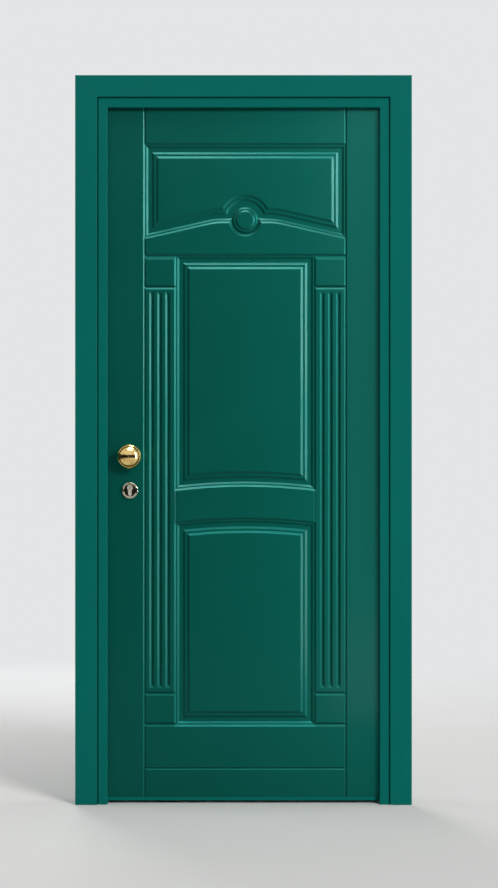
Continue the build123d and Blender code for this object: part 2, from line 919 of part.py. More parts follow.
def gable_sides(inset):
    """Top panel without the middle of its lower edge, which is gabled."""
    half = top_panel_half - inset
    top = top_panel_top - inset
    bend_x, bend_z = gable_bends(inset, 1)
    middle_x, middle_z = gable_bends(inset, 1 / 2)
    flat = gable_height + inset
    corner = bend_z - (half - bend_x) * tan(gable_angle)
    Polyline((-bend_x, bend_z), (-half, corner), (-half, top), (half, top), (half, corner))
    Line((half, corner), (bend_x, bend_z))
    ThreePointArc((bend_x, bend_z), (middle_x, middle_z), (gable_flat_half, flat))
    ThreePointArc((-gable_flat_half, flat), (-middle_x, middle_z), (-bend_x, bend_z))


def gable_outline(inset):
    """Edge of the top panel, with a flat between the gable's slopes."""
    gable_sides(inset)
    Line((gable_flat_half, gable_height + inset), (-gable_flat_half, gable_height + inset))


def gable_field(inset):
    """Field of the top panel, with an arch over the boss between the gable's slopes."""
    gable_sides(inset)
    flat = gable_height + inset
    radius = arch_margin + inset
    arch_x = sqrt(radius**2 - (flat - boss_height) ** 2)
    Line((gable_flat_half, flat), (arch_x, flat))
    ThreePointArc((arch_x, flat), (0, boss_height + radius), (-arch_x, flat))
    Line((-arch_x, flat), (-gable_flat_half, flat))


with BuildPart() as outer_panel:
    with BuildSketch(level(shell_front)):
        with Locations((0, shell_middle)):
            Rectangle(2 * board_half, board_height)
    extrude(amount=panel_thickness)

    # Channels round the three panels
    for outline in (gable_outline, middle_outline, lower_outline):
        for (inset, depth), (next_inset, next_depth) in outer_steps:
            with BuildSketch(routed(depth)):
                with BuildLine():
                    outline(inset)
                make_face()
            with BuildSketch(routed(next_depth)):
                with BuildLine():
                    outline(next_inset)
                make_face()
            loft(ruled=True, mode=Mode.SUBTRACT)

    # Ring round the boss, then the boss itself
    boss_axis = turn_axis(design_shift, boss_height)
    boss_base = boss_flat + 2 * boss_step + boss_ledge
    with BuildSketch(turned(design_shift, boss_height, panel_front)):
        with BuildLine():
            ring = (boss_base + boss_ring, 0)
            Polyline((0, 0), ring, (boss_base, channel_depth), (0, channel_depth), close=True)
        make_face()
    revolve(axis=boss_axis, mode=Mode.SUBTRACT)
    with BuildSketch(turned(design_shift, boss_height, panel_front)):
        with BuildLine():
            Polyline(
                (0, 0),
                (boss_flat, 0),
                (boss_flat + boss_step, step_depth),
                (boss_flat + boss_step + boss_ledge, step_depth),
                (boss_base, channel_depth),
                (0, channel_depth),
                close=True,
            )
        make_face()
    revolve(axis=boss_axis)

    # Raised fields inside the channels
    for outline in (gable_field, middle_outline, lower_outline):
        for (inset, depth), (next_inset, next_depth) in shoulder_steps:
            with BuildSketch(routed(depth)):
                with BuildLine():
                    outline(inset)
                make_face()
            with BuildSketch(routed(next_depth)):
                with BuildLine():
                    outline(next_inset)
                make_face()
            loft(ruled=True)

    # Upright grooves: the stiles' full height, and the middle rail's ends
    rail_low = arch_foot(lower_top, rail_radius, panel_half) - outer_step
    rail_high = arch_foot(middle_bottom, rail_radius, panel_half) + outer_step
    stile_groove = (groove_half_spacing, groove_width, groove_depth, shell_low, shell_high)
    rail_groove = (rail_groove_half, rail_groove_width, rail_groove_depth, rail_low, rail_high)
    for half, width, depth, low, high in (stile_groove, rail_groove):
        for x in (design_shift - half, design_shift + half):
            with BuildSketch(Plane(origin=(x, board_foot, low))):
                with BuildLine():
                    Polyline((-width / 2, 0), (0, depth), (width / 2, 0), close=True)
                make_face()
            extrude(amount=high - low, mode=Mode.SUBTRACT)

    # Level grooves right across: under the gable, over the foot rail, and across it
    full_grooves = (
        (middle_top, outer_step, head_edge_slope, step_depth),
        (plinth_foot, block_edge_steep, plinth_foot - lower_bottom - block_edge_steep, step_depth),
        (foot_groove_height, foot_groove_width / 2, foot_groove_width / 2, foot_groove_depth),
    )
    for top, steep, slope, depth in full_grooves:
        with BuildSketch(Plane.YZ.offset(design_shift)):
            with BuildLine():
                tip = (board_foot + depth, top - steep)
                Polyline((board_foot, top), tip, (board_foot, top - steep - slope), close=True)
            make_face()
        extrude(amount=groove_half_spacing, both=True, mode=Mode.SUBTRACT)

    # Level grooves that part each pilaster from its blocks
    pilaster_inner = panel_half - outer_step
    for top in (capital_foot, plinth_top):
        for start in (design_shift - groove_half_spacing, design_shift + pilaster_inner):
            with BuildSketch(Plane.YZ.offset(start)):
                with BuildLine():
                    tip = (board_foot + step_depth, top - block_edge_steep)
                    foot = (board_foot, top - block_edge_steep - block_edge_slope)
                    Polyline((board_foot, top), tip, foot, close=True)
                make_face()
            extrude(amount=groove_half_spacing - pilaster_inner, mode=Mode.SUBTRACT)

    # Three hipped flutes in each pilaster
    flute_middle = (flute_low + flute_high) / 2
    flute_length = flute_high - flute_low
    pilaster_middle = (groove_half_spacing + panel_half) / 2 - groove_depth / 2
    for side in (-1, 1):
        for step in (-1, 0, 1):
            place = (side * pilaster_middle + step * flute_pitch, flute_middle)
            with BuildSketch(routed(0)):
                with Locations(place):
                    Rectangle(flute_width, flute_length)
            with BuildSketch(routed(flute_depth)):
                with Locations(place):
                    Rectangle(flute_valley, flute_length - 2 * flute_hip)
            loft(ruled=True, mode=Mode.SUBTRACT)

    # Holes for the knob's stud and the cylinder
    with BuildSketch(level(shell_front)):
        with Locations((lock_x, knob_height)):
            Circle(stud_head_radius + stud_clearance)
    extrude(amount=stud_head + stud_clearance, mode=Mode.SUBTRACT)
    with BuildSketch(level(shell_front)):
        with Locations((lock_x, knob_height)):
            Circle(stud_radius + stud_clearance)
    extrude(amount=panel_thickness, mode=Mode.SUBTRACT)
    hole = cylinder_profile(level(shell_front), profile_clearance)
    extrude(hole, amount=panel_thickness, mode=Mode.SUBTRACT)
finish(outer_panel, "outer_panel")

with BuildPart() as inner_panel:
    with BuildSketch(level(inner_panel_back)):
        with Locations((0, shell_middle)):
            Rectangle(2 * board_half, board_height)
        with Locations(*leaf_screws):
            Circle(hinge_screw_hole, mode=Mode.SUBTRACT)
        with Locations((lock_x, knob_height)):
            Circle(handle_neck + running_clearance, mode=Mode.SUBTRACT)
    extrude(amount=inner_panel_thickness)
    hole = cylinder_profile(level(inner_panel_back), profile_clearance)
    extrude(hole, amount=inner_panel_thickness, mode=Mode.SUBTRACT)
finish(inner_panel, "inner_panel")

# Lock case, its cover, the drill plate in front of it and the faceplate on the leaf's edge
case_middle_x = case_front_x + lock_length / 2
case_middle_z = (lock_low + lock_high) / 2
case_height = lock_high - lock_low

with BuildPart() as drill_plate:
    with BuildSketch(level(case_front)):
        with Locations((case_middle_x, case_middle_z)):
            Rectangle(lock_length, case_height)
    extrude(amount=drill_plate_thickness)
    hole = cylinder_profile(level(case_front), profile_clearance)
    extrude(hole, amount=drill_plate_thickness, mode=Mode.SUBTRACT)
finish(drill_plate, "drill_plate")


def latch_opening(x, length):
    """A through cut for the latch in an upright plate at x."""
    with BuildPart() as opening:
        with BuildSketch(Plane.YZ.offset(x)):
            with Locations((bolt_y, latch_height)):
                Rectangle(latch_thick + 2 * running_clearance, latch_tall + 2 * running_clearance)
        extrude(amount=length)
    return opening.part


with BuildPart() as lock_case:
    with BuildSketch(level(case_back)):
        with Locations((case_middle_x, case_middle_z)):
            Rectangle(lock_length, case_height)
    extrude(amount=lock_thickness)
    with BuildSketch(level(case_back)):
        with Locations((case_middle_x, case_middle_z)):
            Rectangle(lock_length - 2 * lock_wall, case_height - 2 * lock_wall)
    extrude(amount=lock_thickness - lock_wall, mode=Mode.SUBTRACT)
    with BuildSketch(Plane.YZ.offset(case_front_x)):
        with Locations(*[(bolt_y, z) for z in bolt_heights]):
            Circle(bolt_radius + running_clearance)
    extrude(amount=lock_wall, mode=Mode.SUBTRACT)
    add(latch_opening(case_front_x, lock_wall), mode=Mode.SUBTRACT)
    with BuildSketch(Plane.XY.offset(lock_low)):
        with Locations((rod_x, bolt_y)):
            Circle(rod_radius + running_clearance)
    extrude(amount=case_height, mode=Mode.SUBTRACT)
    with BuildSketch(level(case_front + lock_wall)):
        with Locations((lock_x, knob_height)):
            Circle(journal_radius + running_clearance)
    extrude(amount=lock_wall, mode=Mode.SUBTRACT)
    hole = cylinder_profile(level(case_front + lock_wall), profile_clearance)
    extrude(hole, amount=lock_wall, mode=Mode.SUBTRACT)
finish(lock_case, "lock_case")

with BuildPart() as lock_cover:
    with BuildSketch(level(case_back + cover_thickness)):
        with Locations((case_middle_x, case_middle_z)):
            Rectangle(lock_length, case_height)
        with Locations((lock_x, knob_height)):
            Circle(journal_radius + running_clearance, mode=Mode.SUBTRACT)
    extrude(amount=cover_thickness)
    hole = cylinder_profile(level(case_back + cover_thickness), profile_clearance)
    extrude(hole, amount=cover_thickness, mode=Mode.SUBTRACT)
finish(lock_cover, "lock_cover")

with BuildPart() as faceplate:
    with BuildSketch(Plane.YZ.offset(lock_edge)):
        with Locations((bolt_y, plate_middle)):
            Rectangle(faceplate_width, plate_height)
        with Locations(*[(bolt_y, z) for z in bolt_heights]):
            Circle(bolt_radius + running_clearance, mode=Mode.SUBTRACT)
    extrude(amount=faceplate_thickness)
    add(latch_opening(lock_edge, faceplate_thickness), mode=Mode.SUBTRACT)
    with Locations(Plane(origin=(lock_edge, 0, 0), x_dir=(0, -1, 0), z_dir=(-1, 0, 0))):
        with Locations(*[(-bolt_y, z) for z in face_screw_heights]):
            CounterSinkHole(screw_hole, screw_head_radius + screw_clearance)
finish(faceplate, "lock_faceplate")

with BuildPart() as faceplate_screws:
    for z in face_screw_heights:
        seat = Plane(origin=(lock_edge, bolt_y, z), x_dir=(0, -1, 0), z_dir=(-1, 0, 0))
        add(countersunk_screw(seat, screw_radius, screw_head_radius, screw_head, screw_length))
finish(faceplate_screws, "faceplate_screws")

with BuildPart() as deviator:
    deviator_middle = (deviator_low + deviator_high) / 2
    deviator_height = deviator_high - deviator_low
    with BuildSketch(level(case_back)):
        with Locations((case_middle_x, deviator_middle)):
            Rectangle(lock_length, deviator_height)
    extrude(amount=case_back - core_front)
    with BuildSketch(level(case_back)):
        with Locations((case_middle_x, deviator_middle)):
            Rectangle(lock_length - 2 * lock_wall, deviator_height - 2 * lock_wall)
    extrude(amount=case_back - core_front - lock_wall, mode=Mode.SUBTRACT)
    with BuildSketch(Plane.YZ.offset(case_front_x)):
        with Locations((bolt_y, side_bolt_height)):
            Circle(bolt_radius + running_clearance)
    extrude(amount=lock_wall, mode=Mode.SUBTRACT)
    with BuildSketch(Plane.XY.offset(deviator_high)):
        with Locations((rod_x, bolt_y)):
            Circle(rod_radius + running_clearance)
    extrude(amount=-lock_wall, mode=Mode.SUBTRACT)
finish(deviator, "lower_deviator_case")

# Bolts
with BuildPart() as deadbolts:
    with BuildSketch(Plane.YZ.offset(lock_edge + bolt_sink)):
        with Locations(*[(bolt_y, z) for z in bolt_heights]):
            Circle(bolt_radius)
    extrude(amount=bolt_length)
    chamfer(deadbolts.faces().sort_by(Axis.X)[:bolt_count].edges(), length=bolt_chamfer)
    with BuildSketch(Plane.YZ.offset(lock_edge + bolt_sink + bolt_length - carriage_overlap)):
        with Locations((bolt_y, bolt_middle)):
            Rectangle(carriage_thickness, bolt_pitch * (bolt_count - 1) + 2 * carriage_margin)
    extrude(amount=carriage_length)
finish(deadbolts, "deadbolts")

with BuildPart() as side_bolt:
    with BuildSketch(Plane.YZ.offset(lock_edge + bolt_sink)):
        with Locations((bolt_y, side_bolt_height)):
            Circle(bolt_radius)
    extrude(amount=bolt_length)
    chamfer(side_bolt.faces().sort_by(Axis.X)[0].edges(), length=bolt_chamfer)
finish(side_bolt, "lower_side_bolt")

with BuildPart() as latch:
    with BuildSketch(Plane.XY.offset(latch_height - latch_tall / 2)):
        with BuildLine():
            tip = lock_edge - latch_throw
            Polyline(
                (tip, bolt_y + latch_thick / 2),
                (tip, bolt_y + latch_thick / 2 - carriage_overlap),
                (tip + latch_bevel, bolt_y - latch_thick / 2),
                (tip + latch_head_length, bolt_y - latch_thick / 2),
                (tip + latch_head_length, bolt_y + latch_thick / 2),
                close=True,
            )
        make_face()
    extrude(amount=latch_tall)
    tail_start = tip + latch_head_length
    tail_low = latch_height - tail_tall / 2
    with BuildSketch(Plane.YZ.offset(tail_start)):
        with Locations((bolt_y, latch_height)):
            Rectangle(tail_thick, tail_tall)
    extrude(amount=lock_edge + tail_back - tail_start)
    with BuildSketch(Plane.YZ.offset(lock_edge + tab_front)):
        with Locations((bolt_y, tail_low - tab_drop / 2)):
            Rectangle(tail_thick, tab_drop)
    extrude(amount=tail_back - tab_front)
finish(latch, "latch_bolt")

with BuildPart() as follower:
    with BuildSketch(level(case_back - running_clearance)):
        with Locations((lock_x, knob_height)):
            Circle(follower_radius)
    extrude(amount=lock_thickness - lock_wall - 2 * running_clearance)
    with BuildSketch(level(case_back + cover_thickness)):
        with Locations((lock_x, knob_height)):
            Circle(journal_radius)
    extrude(amount=lock_thickness + cover_thickness)
    with BuildSketch(level(bolt_depth + tail_thick / 2)):
        with Locations(Location((lock_x, knob_height), arm_angle)):
            with Locations((0, arm_reach / 2)):
                Rectangle(arm_width, arm_reach)
    extrude(amount=tail_thick)
    with BuildSketch(level(case_back + cover_thickness)):
        with Locations((lock_x, knob_height)):
            Rectangle(spindle_side + 2 * spindle_clearance, spindle_side + 2 * spindle_clearance)
    extrude(amount=lock_thickness + cover_thickness, mode=Mode.SUBTRACT)
finish(follower, "lever_follower")

with BuildPart() as upper_rod:
    with BuildSketch(Plane.XY.offset(lock_high - rod_entry)):
        with Locations((rod_x, bolt_y)):
            Circle(rod_radius)
    extrude(amount=leaf_top - bolt_sink - lock_high + rod_entry)
    chamfer(upper_rod.faces().sort_by(Axis.Z)[-1].edges(), length=bolt_chamfer)
finish(upper_rod, "upper_rod")

with BuildPart() as lower_rod:
    with BuildSketch(Plane.XY.offset(deviator_high - rod_dip)):
        with Locations((rod_x, bolt_y)):
            Circle(rod_radius)
    extrude(amount=lock_low + lower_rod_entry - deviator_high + rod_dip)
finish(lower_rod, "lower_rod")

# Cylinder body, plug, cam and thumb turn
cylinder_front = panel_front - cylinder_proud
cylinder_back = leaf_back + cylinder_proud
cam_front = bolt_depth - cam_width / 2
cam_back = bolt_depth + cam_width / 2

with BuildPart() as cylinder_body:
    extrude(cylinder_profile(level(cylinder_back), 0), amount=cylinder_back - cylinder_front)
    with BuildSketch(level(cylinder_back)):
        with Locations((lock_x, barrel_height)):
            Circle(plug_radius + plug_clearance)
    extrude(amount=cylinder_back - cylinder_front, mode=Mode.SUBTRACT)
    with BuildSketch(level(cam_back + cam_side_gap)):
        with Locations((lock_x, barrel_height)):
            Circle(cam_reach + cam_clearance)
    extrude(amount=cam_width + 2 * cam_side_gap, mode=Mode.SUBTRACT)
finish(cylinder_body, "cylinder_body")

with BuildPart() as plug:
    with BuildSketch(level(cam_front)):
        with Locations((lock_x, barrel_height)):
            Circle(plug_radius)
    extrude(amount=cam_front - cylinder_front + plug_proud)
    with BuildSketch(level(cylinder_front + keyway_depth)):
        with Locations((lock_x, barrel_height)):
            Rectangle(keyway_width, keyway_height)
    extrude(amount=keyway_depth + plug_proud, mode=Mode.SUBTRACT)
finish(plug, "cylinder_plug")

with BuildPart() as cam:
    with BuildSketch(level(cam_back)):
        with Locations((lock_x, barrel_height)):
            Circle(cam_radius)
        with Locations((lock_x, barrel_height - cam_reach / 2)):
            Rectangle(cam_lever, cam_reach)
    extrude(amount=cam_width)
finish(cam, "lock_cam")

with BuildPart() as thumb_turn:
    with BuildSketch(level(cylinder_back + running_clearance)):
        with Locations((lock_x, barrel_height)):
            Circle(plug_radius)
    extrude(amount=cylinder_back + running_clearance - cam_back)
    with BuildSketch(level(cylinder_back + running_clearance + turn_boss_length)):
        with Locations((lock_x, barrel_height)):
            Circle(turn_boss_radius)
    extrude(amount=turn_boss_length)
    with BuildSketch(level(cylinder_back + running_clearance + turn_reach)):
        with Locations((lock_x, barrel_height)):
            RectangleRounded(turn_thickness, turn_length, turn_round)
    extrude(amount=turn_reach - turn_boss_length)
    fillet(thumb_turn.faces().sort_by(Axis.Y)[-1].edges(), radius=turn_round / 2)
finish(thumb_turn, "thumb_turn")

# Outer guard round the cylinder: a dished ring with the cylinder's outline cut through its floor
with BuildPart() as guard:
    with BuildSketch(turned(lock_x, guard_height, panel_front)):
        with BuildLine():
            inner = guard_radius - guard_rim
            Polyline(
                (0, 0),
                (guard_radius, 0),
                (guard_radius, -guard_reach),
                (inner, -guard_reach),
                (inner - guard_round, guard_recess - guard_reach),
                (0, guard_recess - guard_reach),
                close=True,
            )
        guard_section = make_face()
        fillet(guard_section.vertices().group_by(Axis.Y)[0].sort_by(Axis.X)[-1], radius=guard_round)
    revolve(axis=turn_axis(lock_x, guard_height))
    hole = cylinder_profile(level(panel_front), profile_clearance)
    extrude(hole, amount=guard_reach, mode=Mode.SUBTRACT)
finish(guard, "cylinder_guard")

with BuildPart() as inner_rose:
    with BuildSketch(level(leaf_back + inner_rose_thickness)):
        with Locations((lock_x, guard_height)):
            Circle(inner_rose_radius)
    extrude(amount=inner_rose_thickness + trim_sheet)
    fillet(inner_rose.faces().sort_by(Axis.Y)[-1].edges(), radius=rose_round)
    hole = cylinder_profile(level(cylinder_back), profile_clearance)
    extrude(hole, amount=cylinder_back - inner_panel_back, mode=Mode.SUBTRACT)
    with BuildSketch(level(leaf_back + inner_rose_thickness)):
        with Locations((lock_x, barrel_height)):
            Circle(turn_boss_radius + running_clearance)
    extrude(amount=leaf_back + inner_rose_thickness - cylinder_back, mode=Mode.SUBTRACT)
finish(inner_rose, "inner_cylinder_rose")

def crown_middle(foot, crown):
    """The middle of an arc that rises from its foot and lies level at its crown."""
    reach = foot[0] - crown[0]
    rise = foot[1] - crown[1]
    radius = (reach**2 + rise**2) / (2 * rise)
    turn = asin(reach / radius) / 2
    return crown[0] + radius * sin(turn), crown[1] + radius * (1 - cos(turn))


# Fixed knob on its rose, held by a stud from the back of the outer panel
with BuildPart() as knob_rose:
    with BuildSketch(turned(lock_x, knob_height, panel_front)):
        with BuildLine():
            lip = (rose_radius, -rose_lip)
            crown = (knob_neck, -rose_thickness)
            Polyline(crown, (0, -rose_thickness), (0, 0), (rose_radius, 0), lip)
            ThreePointArc(lip, crown_middle(lip, crown), crown)
        make_face()
    revolve(axis=turn_axis(lock_x, knob_height))
    with BuildSketch(level(panel_front)):
        with Locations((lock_x, knob_height)):
            Circle(stud_radius + stud_clearance)
    extrude(amount=rose_thickness, mode=Mode.SUBTRACT)
finish(knob_rose, "knob_rose")

knob_rise = knob_reach - rose_thickness


def knob_point(shares):
    """A point of the knob's profile, from its shares."""
    return shares[0] * knob_radius, -rose_thickness - shares[1] * knob_rise


with BuildPart() as knob:
    with BuildSketch(turned(lock_x, knob_height, panel_front)):
        with BuildLine():
            neck_top = (knob_neck, -rose_thickness - neck_share * knob_rise)
            Polyline((0, -knob_reach), (0, -rose_thickness), (knob_neck, -rose_thickness), neck_top)
            ThreePointArc(neck_top, knob_point(flare_shares), knob_point(brim_shares))
            ThreePointArc(knob_point(brim_shares), knob_point(rim_shares), knob_point(rim_top_shares))
            Line(knob_point(rim_top_shares), knob_point(bead_shares))
            dome_foot = knob_point(bead_shares)
            dome_top = (0, -knob_reach)
            ThreePointArc(dome_foot, crown_middle(dome_foot, dome_top), dome_top)
        make_face()
    revolve(axis=turn_axis(lock_x, knob_height))
    with BuildSketch(level(panel_front - rose_thickness)):
        with Locations((lock_x, knob_height)):
            Circle(stud_radius + stud_clearance)
    extrude(amount=stud_depth + stud_clearance, mode=Mode.SUBTRACT)
finish(knob, "door_knob")

with BuildPart() as stud:
    with BuildSketch(level(shell_front)):
        with Locations((lock_x, knob_height)):
            Circle(stud_head_radius)
    extrude(amount=stud_head)
    with BuildSketch(level(shell_front)):
        with Locations((lock_x, knob_height)):
            Circle(stud_radius)
    extrude(amount=panel_thickness + rose_thickness + stud_depth)
    with BuildSketch(level(shell_front)):
        with Locations((lock_x, knob_height)):
            RegularPolygon(stud_radius, side_count=6)
    extrude(amount=stud_head / 2, mode=Mode.SUBTRACT)
finish(stud, "knob_stud")

# Inner lever handle
handle_top = leaf_back + handle_reach
lever_depth = handle_top - lever_thick / 2

with BuildPart() as handle_rose:
    with BuildSketch(level(leaf_back + handle_rose_thickness)):
        with Locations((lock_x, knob_height)):
            Circle(handle_rose_radius)
    extrude(amount=handle_rose_thickness + trim_sheet)
    fillet(handle_rose.faces().sort_by(Axis.Y)[-1].edges(), radius=rose_round)
    with BuildSketch(level(leaf_back + handle_rose_thickness)):
        with Locations((lock_x, knob_height)):
            Circle(handle_neck + running_clearance)
    extrude(amount=handle_rose_thickness + trim_sheet, mode=Mode.SUBTRACT)
finish(handle_rose, "handle_rose")

with BuildPart() as lever:
    with BuildLine(level(lever_depth)) as lever_path:
        straight = Line((lock_x, knob_height), (lock_x + lever_straight, knob_height))
        JernArc(start=straight @ 1, tangent=straight % 1, radius=lever_bend, arc_size=-lever_angle)
    with BuildSketch(Plane(origin=straight @ 0, x_dir=(0, 0, 1), z_dir=(1, 0, 0))):
        Ellipse(lever_tall / 2, lever_thick / 2)
    sweep_path = lever_path.wires()[0]
    sweep(path=sweep_path)
    fillet(lever.faces().sort_by(Axis.X)[-1].edges(), radius=lever_round)
    with BuildSketch(level(lever_depth)):
        with Locations((lock_x, knob_height)):
            Circle(handle_neck)
    extrude(amount=lever_depth - inner_panel_back)
    with BuildSketch(level(lever_depth)):
        with Locations((lock_x, knob_height)):
            Circle(lever_tall / 2)
    extrude(amount=lever_thick / 2, both=True)
    with BuildSketch(level(inner_panel_back)):
        with Locations((lock_x, knob_height)):
            Rectangle(spindle_side + 2 * spindle_clearance, spindle_side + 2 * spindle_clearance)
    extrude(amount=-spindle_reach - spindle_clearance, mode=Mode.SUBTRACT)
finish(lever, "lever_handle")

with BuildPart() as spindle:
    with BuildSketch(level(inner_panel_back + spindle_reach)):
        with Locations((lock_x, knob_height)):
            Rectangle(spindle_side, spindle_side)
    extrude(amount=inner_panel_back + spindle_reach - case_front)
finish(spindle, "handle_spindle")

# Fixed dog bolts
with BuildPart() as dog_bolts:
    for z in dog_heights:
        with BuildSketch(Plane(origin=(leaf_half, bolt_y, z), x_dir=(1, 0, 0), z_dir=(0, -1, 0))):
            with BuildLine():
                Polyline(
                    (-dog_shank, 0),
                    (-dog_shank, dog_shank_radius),
                    (0, dog_shank_radius),
                    (0, dog_collar_radius),
                    (dog_collar, dog_collar_radius),
                    (dog_collar, dog_radius),
                    (dog_reach - dog_chamfer, dog_radius),
                    (dog_reach, dog_radius - dog_chamfer),
                    (dog_reach, 0),
                    close=True,
                )
            make_face()
        revolve(axis=Axis((leaf_half, bolt_y, z), (1, 0, 0)))
finish(dog_bolts, "dog_bolts")
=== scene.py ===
import bpy
import json
from math import atan, cos, radians, sin
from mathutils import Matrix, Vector


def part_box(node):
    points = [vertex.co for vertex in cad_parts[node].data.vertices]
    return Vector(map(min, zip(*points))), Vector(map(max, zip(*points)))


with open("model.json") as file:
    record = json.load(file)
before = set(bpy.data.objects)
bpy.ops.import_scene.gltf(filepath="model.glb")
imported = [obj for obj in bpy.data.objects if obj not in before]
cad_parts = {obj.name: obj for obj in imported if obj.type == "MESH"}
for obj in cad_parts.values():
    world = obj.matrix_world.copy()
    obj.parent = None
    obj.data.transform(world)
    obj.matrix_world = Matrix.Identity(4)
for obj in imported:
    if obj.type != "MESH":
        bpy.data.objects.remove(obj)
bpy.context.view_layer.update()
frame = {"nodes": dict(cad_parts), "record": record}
nodes = frame["nodes"]

# Photograph: its frame in pixels, and the clear opening that it shows there
image_width_px = 498
image_height_px = 888
opening_left_px = 107.0
opening_right_px = 380.0
opening_top_px = 107.5
floor_px = 804.5

# The same opening in the model, in metres
opening_width = 0.820
opening_height = 2.100
head_low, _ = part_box("head_jamb")
face_y = head_low.y
door_middle = Vector((0.0, face_y, opening_height / 2))

# Camera
camera_distance = 6.0
sensor_width_mm = 36.0

# Stage: a round floor that fades out, a pale world, and a dark curtain that only reflections show.
# Angles are in degrees. The curtain's are measured from straight in front, positive to the right.
arc_step = 5
floor_radius = 5.0
floor_fade_start = 2.5
floor_middle_y = -1.0
floor_drop = 0.0005
floor_color = (0.66, 0.66, 0.65, 1.0)
floor_patch_scale = 2.0
floor_patch_shift = 0.02
floor_roughness = 0.8
floor_specular = 0.0
world_color = (0.97, 0.98, 1.0, 1.0)
world_pale = 0.80
world_dim = 0.05
curtain_radius = 8.0
curtain_low = -3.0
curtain_high = 3.05
curtain_start = -110
curtain_end = 75
curtain_color = (0.02, 0.02, 0.02, 1.0)

# Soft boxes: place, width, height, power, and whether they light matt surfaces or only show in gloss
matt = "matt"
gloss = "gloss"
lamps = {
    "key_soft": ((5.2, -8.2, 5.0), 3.2, 2.7, 980.0, matt),
    "sheen_soft": ((1.05, -1.6, 1.15), 1.7, 2.9, 29.5, gloss),
    "sheen_top": ((1.05, -1.6, 2.75), 1.7, 0.9, 15.5, gloss),
    "sheen_low": ((1.05, -1.6, 0.15), 1.7, 0.5, 7.0, gloss),
    "right_strip": ((4.4, -1.9, 2.6), 0.5, 2.6, 190.0, gloss),
    "right_low_strip": ((4.4, -1.9, 0.4), 0.5, 1.7, 60.0, gloss),
    "top_strip": ((0.0, -1.7, 5.5), 3.0, 0.5, 100.0, gloss),
    "overhead_strip": ((0.2, -0.45, 4.9), 3.0, 0.7, 110.0, gloss),
    "floor_soft": ((0.0, -0.6, 6.5), 5.0, 5.0, 120.0, matt),
    "left_side_soft": ((-6.0, 0.9, 2.2), 2.5, 3.0, 120.0, matt),
    "right_side_soft": ((6.0, 0.9, 2.2), 2.5, 3.0, 120.0, matt),
    "back_soft": ((-2.0, 6.0, 2.4), 3.0, 3.0, 330.0, matt),
    "back_sheen": ((-1.5, 3.2, 1.6), 1.6, 2.6, 16.0, gloss),
}

# The sheen boxes show only in these pieces
sheen_lamps = ("sheen_soft", "sheen_top", "sheen_low")
sheen_pieces = ("outer_panel", "cylinder_body", "cylinder_plug")

# Paint. Scales are of noise over the object's metres, heights are in metres.
# The outer and inner faces wear one lacquer, in two colours by painted light: the outer one darker, since
# only it gets the sheen lamps, the inner one lighter in their place.
leaf_teal = (0.0011, 0.041, 0.0285, 1.0)
inner_teal_painted_light = (0.0010, 0.066, 0.050, 1.0)
frame_teal = (0.001, 0.120, 0.100, 1.0)
sheen_teal = (0.02, 1.0, 0.90, 1.0)
leaf_roughness = 0.43
inner_roughness = 0.44
edge_roughness = 0.55
frame_roughness = 0.58
casing_roughness = 0.60
paint_cloud_scale = 3.0
paint_cloud_shift = 0.03
lacquer_gloss_scale = 7.0
lacquer_gloss_shift = 0.02
lacquer_coat = 0.05
lacquer_coat_roughness = 0.12
orange_peel_scale = 380.0
orange_peel_height = 0.00001
powder_gloss_scale = 30.0
powder_gloss_shift = 0.04
powder_specular = 0.05
powder_grain_scale = 900.0
steel_grain_height = 0.00004
board_grain_height = 0.00002

# Metal
brass_bright = (0.90, 0.65, 0.26, 1.0)
brass_tarnished = (0.68, 0.43, 0.12, 1.0)
tarnish_scale = 90.0
tarnish_start = 0.45
tarnish_end = 0.75
hairline_scale = 260.0
brass_roughness = (0.07, 0.20)
brass_wave_scale = 130.0
brass_wave_height = 0.00001
lock_grey = (0.62, 0.60, 0.56, 1.0)
hinge_grey = (0.58, 0.58, 0.58, 1.0)
screw_grey = (0.66, 0.66, 0.64, 1.0)
brushed_along_z = (2400.0, 2400.0, 60.0)
brushed_across_z = (60.0, 60.0, 2400.0)
brushed_evenly = (500.0, 500.0, 500.0)
brushed_dark = 0.86
brushed_bright = 1.08
brushed_roughness = (0.24, 0.42)
brushed_height = 0.00002
nickel_dark = (0.74, 0.70, 0.56, 1.0)
nickel_bright = (0.86, 0.83, 0.70, 1.0)
nickel_cloud_scale = 160.0
nickel_gloss_scale = 420.0
nickel_gloss_shift = 0.05
polished_roughness = 0.12
satin_roughness = 0.40
zinc_dark = (0.40, 0.42, 0.43, 1.0)
zinc_bright = (0.58, 0.60, 0.61, 1.0)
spangle_scale = 110.0
zinc_gloss_scale = 60.0
zinc_roughness = (0.35, 0.55)

# Rubber and wool
rubber_black = (0.010, 0.010, 0.010, 1.0)
rubber_bloom = (0.032, 0.032, 0.031, 1.0)
bloom_scale = 45.0
rubber_roughness = (0.62, 0.85)
rubber_grain_scale = 900.0
rubber_grain_height = 0.00006
wool_dark = (0.20, 0.14, 0.05, 1.0)
wool_bright = (0.52, 0.43, 0.22, 1.0)
wool_stretch = (90.0, 90.0, 420.0)
wool_tangle = 0.7
wool_roughness = 0.95
wool_height = 0.003

# Most of a noise lies between these values, so it is spread from them
noise_low = 0.3
noise_high = 0.7


